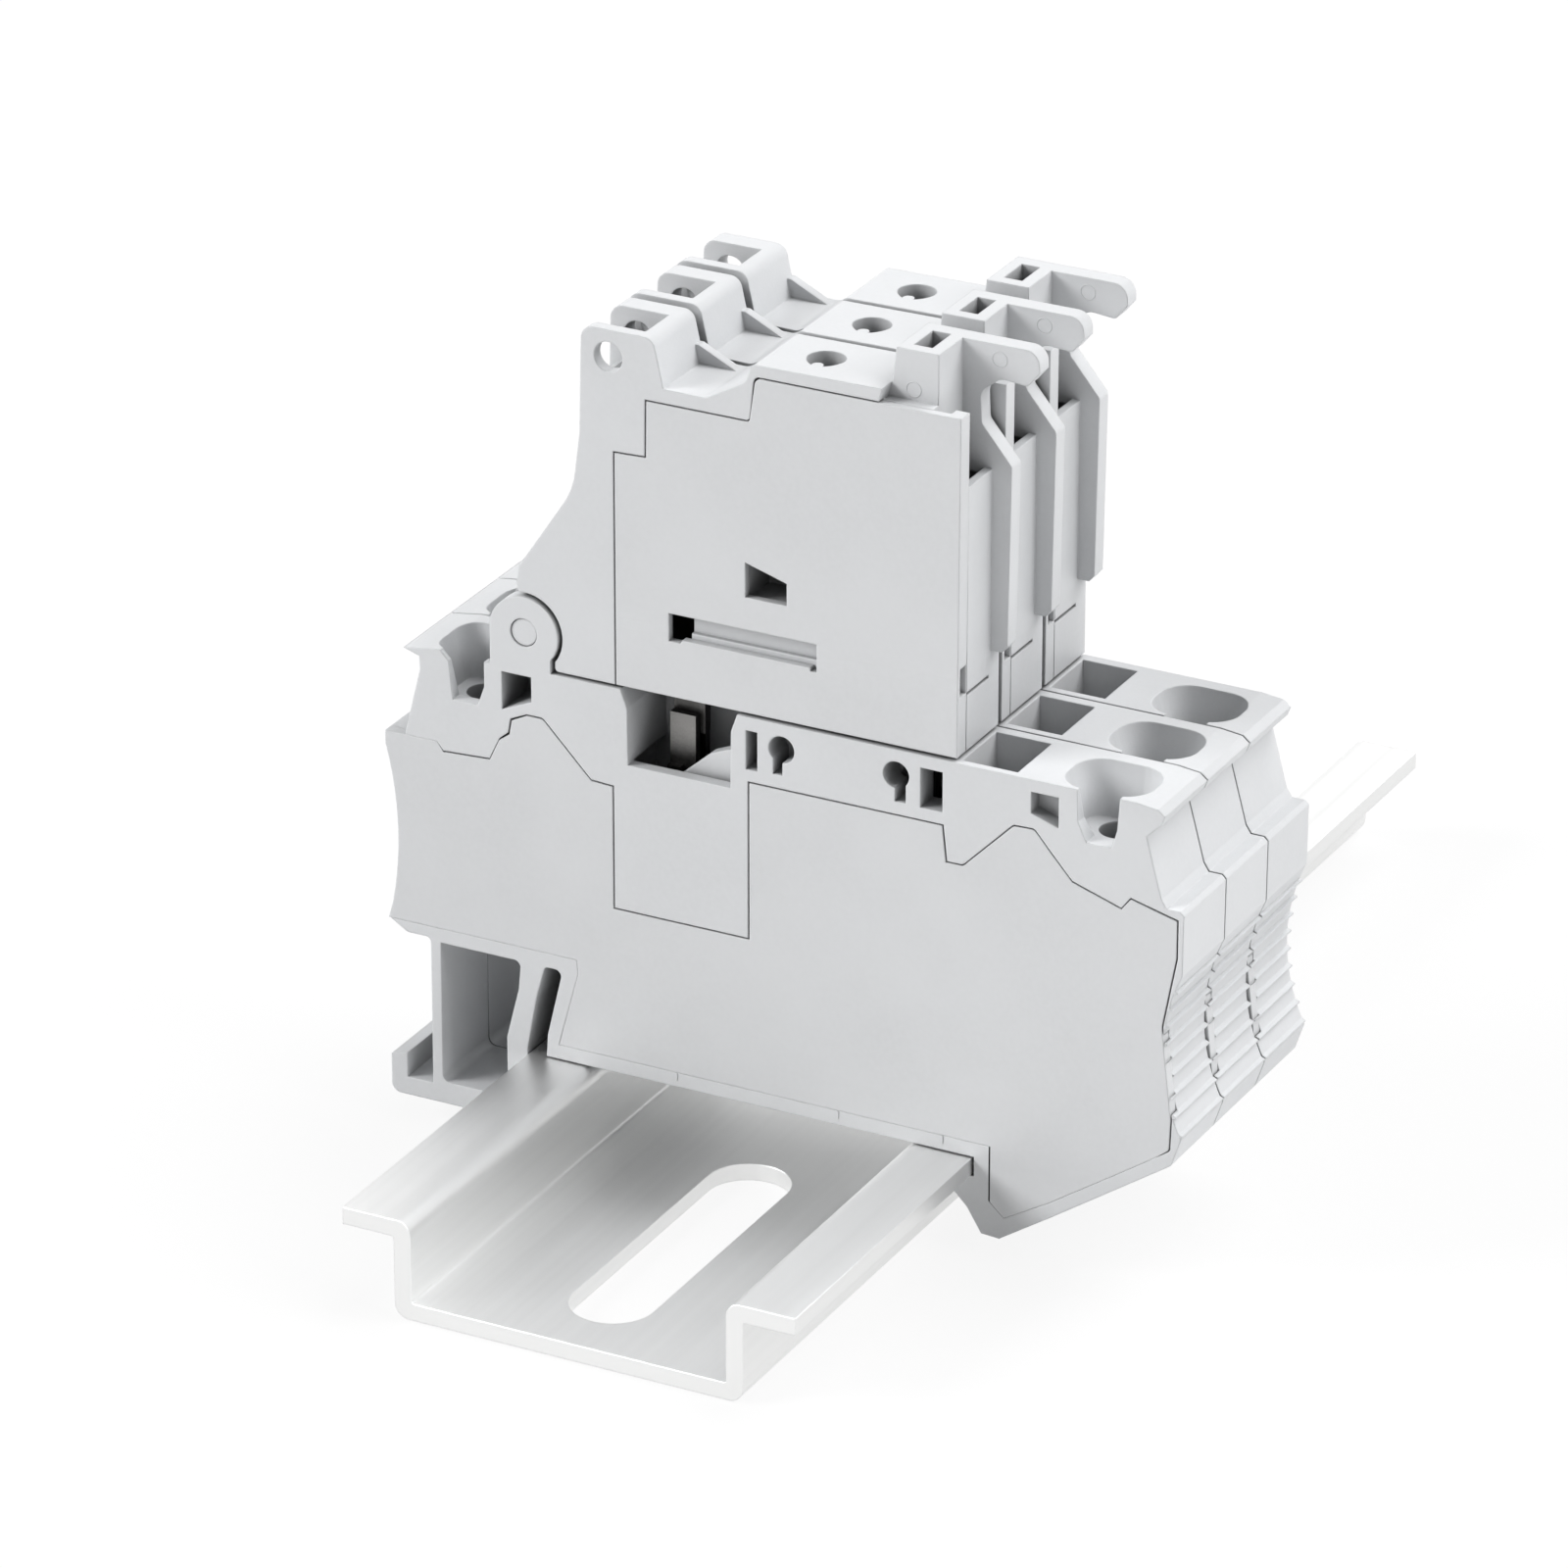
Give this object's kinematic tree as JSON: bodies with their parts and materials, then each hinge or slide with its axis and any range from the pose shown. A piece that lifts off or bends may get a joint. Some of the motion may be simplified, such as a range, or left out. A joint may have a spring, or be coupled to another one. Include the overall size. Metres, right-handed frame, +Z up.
{
  "type": "fuse terminal block",
  "caption": "Joined fuse terminal ways on a slotted top-hat rail; each way has conductor funnels, a release shaft and a swing-up lever that carries a cartridge fuse.",
  "frame": {"origin": "centre of the rail's underside, which is also the middle of its slot row", "axes": "+X along each way towards the finger grips, +Y along the rail away from the short free end, +Z up"},
  "size_m": [0.0623, 0.102, 0.0662],
  "materials": {
    "rail": "satin",
    "housing": "matte",
    "side_cover": "matte",
    "lever": "matte",
    "lever_cover": "matte",
    "fuse_glass": "clear",
    "fuse_cap": "polished",
    "fuse_wire": "drawn",
    "contact": "satin",
    "spring": "satin"
  },
  "bodies": {
    "base": {"rail": "rail", "housing_1": "housing", "side_cover_1": "side_cover", "current_bar_left_1": "contact", "current_bar_right_1": "contact", "clamp_spring_left_1": "spring", "clamp_spring_right_1": "spring", "housing_2": "housing", "side_cover_2": "side_cover", "current_bar_left_2": "contact", "current_bar_right_2": "contact", "clamp_spring_left_2": "spring", "clamp_spring_right_2": "spring", "housing_3": "housing", "side_cover_3": "side_cover", "current_bar_left_3": "contact", "current_bar_right_3": "contact", "clamp_spring_left_3": "spring", "clamp_spring_right_3": "spring"},
    "holder_1": {"lever_1": "lever", "lever_cover_1": "lever_cover", "fuse_glass_1": "fuse_glass", "fuse_cap_left_1": "fuse_cap", "fuse_cap_right_1": "fuse_cap", "fuse_wire_1": "fuse_wire", "lever_contact_left_1": "contact", "lever_contact_right_1": "contact"},
    "holder_2": {"lever_2": "lever", "lever_cover_2": "lever_cover", "fuse_glass_2": "fuse_glass", "fuse_cap_left_2": "fuse_cap", "fuse_cap_right_2": "fuse_cap", "fuse_wire_2": "fuse_wire", "lever_contact_left_2": "contact", "lever_contact_right_2": "contact"},
    "holder_3": {"lever_3": "lever", "lever_cover_3": "lever_cover", "fuse_glass_3": "fuse_glass", "fuse_cap_left_3": "fuse_cap", "fuse_cap_right_3": "fuse_cap", "fuse_wire_3": "fuse_wire", "lever_contact_left_3": "contact", "lever_contact_right_3": "contact"}
  },
  "joints": [
    {"name": "holder_hinge_1", "type": "hinge", "parent": "base", "child": "holder_1", "pos_m": [-0.01755, -0.02118, 0.0401], "axis": [0, -1, 0], "range_deg": [0, 90]},
    {"name": "holder_hinge_2", "type": "hinge", "parent": "base", "child": "holder_2", "pos_m": [-0.01755, -0.01438, 0.0401], "axis": [0, -1, 0], "range_deg": [0, 90]},
    {"name": "holder_hinge_3", "type": "hinge", "parent": "base", "child": "holder_3", "pos_m": [-0.01755, -0.00758, 0.0401], "axis": [0, -1, 0], "range_deg": [0, 90]}
  ]
}
